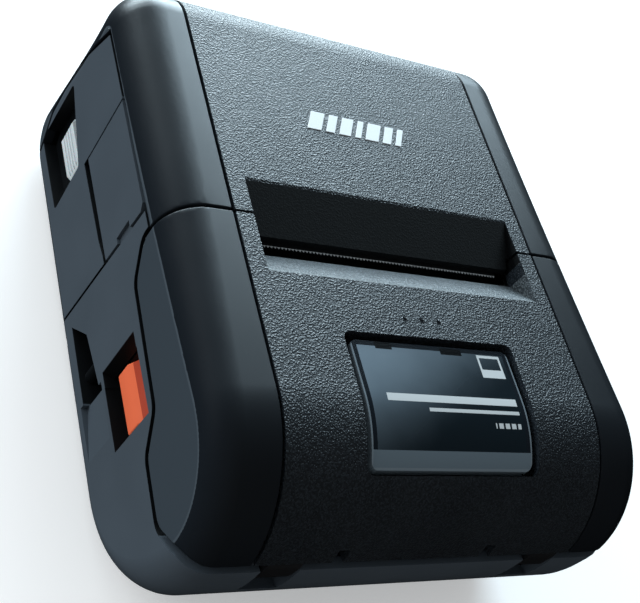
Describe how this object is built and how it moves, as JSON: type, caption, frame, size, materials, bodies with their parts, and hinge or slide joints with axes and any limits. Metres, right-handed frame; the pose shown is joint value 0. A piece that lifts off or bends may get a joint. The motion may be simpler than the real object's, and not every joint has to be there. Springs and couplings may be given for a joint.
{
  "type": "portable label printer",
  "caption": "Rugged pocket-size thermal label and receipt printer with a hinged roll cover, release lever, tear bar and slide-in battery.",
  "frame": {"origin": "under the middle of the case, on the soles of the feet, with the printer lying on its back", "axes": "+X to the right as the front face is read, +Y from the hinged end to the button end, +Z out of the front face"},
  "size_m": [0.1, 0.1226, 0.0553],
  "materials": {
    "grained_panel": "fine pebble grain, dark slate",
    "soft_bumper": "smooth soft-touch, dark slate",
    "side_shell": "fine matte, blue-grey",
    "back_shell": "fine matte",
    "flap_rubber": "matte soft rubber",
    "foot_rubber": "matte",
    "window_gloss": "glossy smoked",
    "window_dark": "matte black",
    "frame_black": "matte black",
    "platen_rubber": "ground rubber",
    "steel": "plated",
    "gear_plastic": "natural acetal",
    "orange_plastic": "satin orange",
    "pale_plastic": "pale grey",
    "ceramic": "glazed ceramic",
    "aluminium": "extruded",
    "brass": "turned",
    "board_green": "solder mask",
    "black_plastic": "moulded",
    "tin_plate": "stamped shield",
    "cell_wrap": "heat-shrink film",
    "key_plastic": "satin grey",
    "ribbon_film": "amber film"
  },
  "bodies": {
    "case": {"upper_panel": "grained_panel", "upper_bumper_left": "soft_bumper", "upper_bumper_right": "soft_bumper", "middle_case": "side_shell", "port_panel_left": "side_shell", "port_panel_right": "side_shell", "port_bezel": "side_shell", "back_plate": "back_shell", "rubber_feet": "foot_rubber", "panel_switches": "frame_black", "roll_tub": "frame_black", "battery_bay": "frame_black", "tear_bar": "steel", "mechanism_frame": "steel", "hinge_pins": "steel", "case_screws": "steel", "head_springs": "steel", "latch_spring": "steel", "usb_socket": "steel", "stepper_motor": "steel", "light_pipes": "pale_plastic", "print_head": "ceramic", "head_heatsink": "aluminium", "clip_inserts": "brass", "battery_contacts": "brass", "main_board": "board_green", "panel_board": "board_green", "board_standoffs": "black_plastic", "power_jack": "black_plastic", "board_chips": "black_plastic", "buzzer": "black_plastic", "paper_sensor": "black_plastic", "radio_module": "tin_plate", "head_ribbon": "ribbon_film"},
    "cover": {"cover_panel": "grained_panel", "cover_bumper_left": "soft_bumper", "cover_bumper_right": "soft_bumper", "window": "window_gloss", "window_backing": "window_dark", "cover_frame": "frame_black", "platen_bushes": "gear_plastic"},
    "platen": {"platen_shaft": "steel", "platen_rubber": "platen_rubber", "platen_gear": "gear_plastic"},
    "idler": {"idler_gear": "gear_plastic"},
    "pinion": {"motor_pinion": "gear_plastic", "motor_shaft": "steel"},
    "lever": {"release_lever": "orange_plastic"},
    "latch": {"latch_shaft": "steel", "latch_hooks": "steel"},
    "battery": {"battery_shell": "back_shell", "battery_cells": "cell_wrap"},
    "lock": {"lock_knob": "pale_plastic"},
    "flap": {"port_flap": "flap_rubber"},
    "power_key": {"power_button": "key_plastic"},
    "feed_key": {"feed_button": "key_plastic"},
    "link_key": {"link_button": "key_plastic"}
  },
  "joints": [
    {"name": "cover_hinge", "type": "hinge", "parent": "case", "child": "cover", "pos_m": [0, -0.0575, 0.0305], "axis": [1, 0, 0], "range_deg": [0, 100]},
    {"name": "platen_spin", "type": "hinge", "parent": "cover", "child": "platen", "pos_m": [0, -0.008, 0.042], "axis": [1, 0, 0], "continuous": true},
    {"name": "idler_spin", "type": "hinge", "parent": "case", "child": "idler", "pos_m": [0.0357, -0.0062, 0.0294], "axis": [1, 0, 0], "continuous": true},
    {"name": "pinion_spin", "type": "hinge", "parent": "case", "child": "pinion", "pos_m": [0.0357, 0.00472, 0.0294], "axis": [1, 0, 0], "continuous": true},
    {"name": "lever_slide", "type": "slide", "parent": "case", "child": "lever", "axis": [0, 0, -1], "range_m": [0, 0.004], "stiffness_N_per_m": 300, "springref_m": -0.002},
    {"name": "latch_turn", "type": "hinge", "parent": "case", "child": "latch", "pos_m": [0, 0.007, 0.048], "axis": [1, 0, 0], "range_deg": [0, 12.5]},
    {"name": "battery_slide", "type": "slide", "parent": "case", "child": "battery", "axis": [0, 1, 0], "range_m": [0, 0.045]},
    {"name": "lock_slide", "type": "slide", "parent": "case", "child": "lock", "axis": [0, 0, -1], "range_m": [0, 0.0044]},
    {"name": "flap_hinge", "type": "hinge", "parent": "case", "child": "flap", "pos_m": [-0.0495, 0.0317, 0.0362], "axis": [0, 0, -1], "range_deg": [0, 95]},
    {"name": "power_press", "type": "slide", "parent": "case", "child": "power_key", "axis": [0, -1, 0], "range_m": [0, 0.001], "stiffness_N_per_m": 600, "springref_m": -0.0006},
    {"name": "feed_press", "type": "slide", "parent": "case", "child": "feed_key", "axis": [0, -1, 0], "range_m": [0, 0.001], "stiffness_N_per_m": 600, "springref_m": -0.0006},
    {"name": "link_press", "type": "slide", "parent": "case", "child": "link_key", "axis": [0, -1, 0], "range_m": [0, 0.001], "stiffness_N_per_m": 600, "springref_m": -0.0006}
  ],
  "couplings": [
    {"joint": "idler_spin", "follows": "platen_spin", "ratio": -0.75},
    {"joint": "pinion_spin", "follows": "platen_spin", "ratio": 1.5},
    {"joint": "latch_turn", "follows": "lever_slide", "rad_per_m": 52.36}
  ]
}
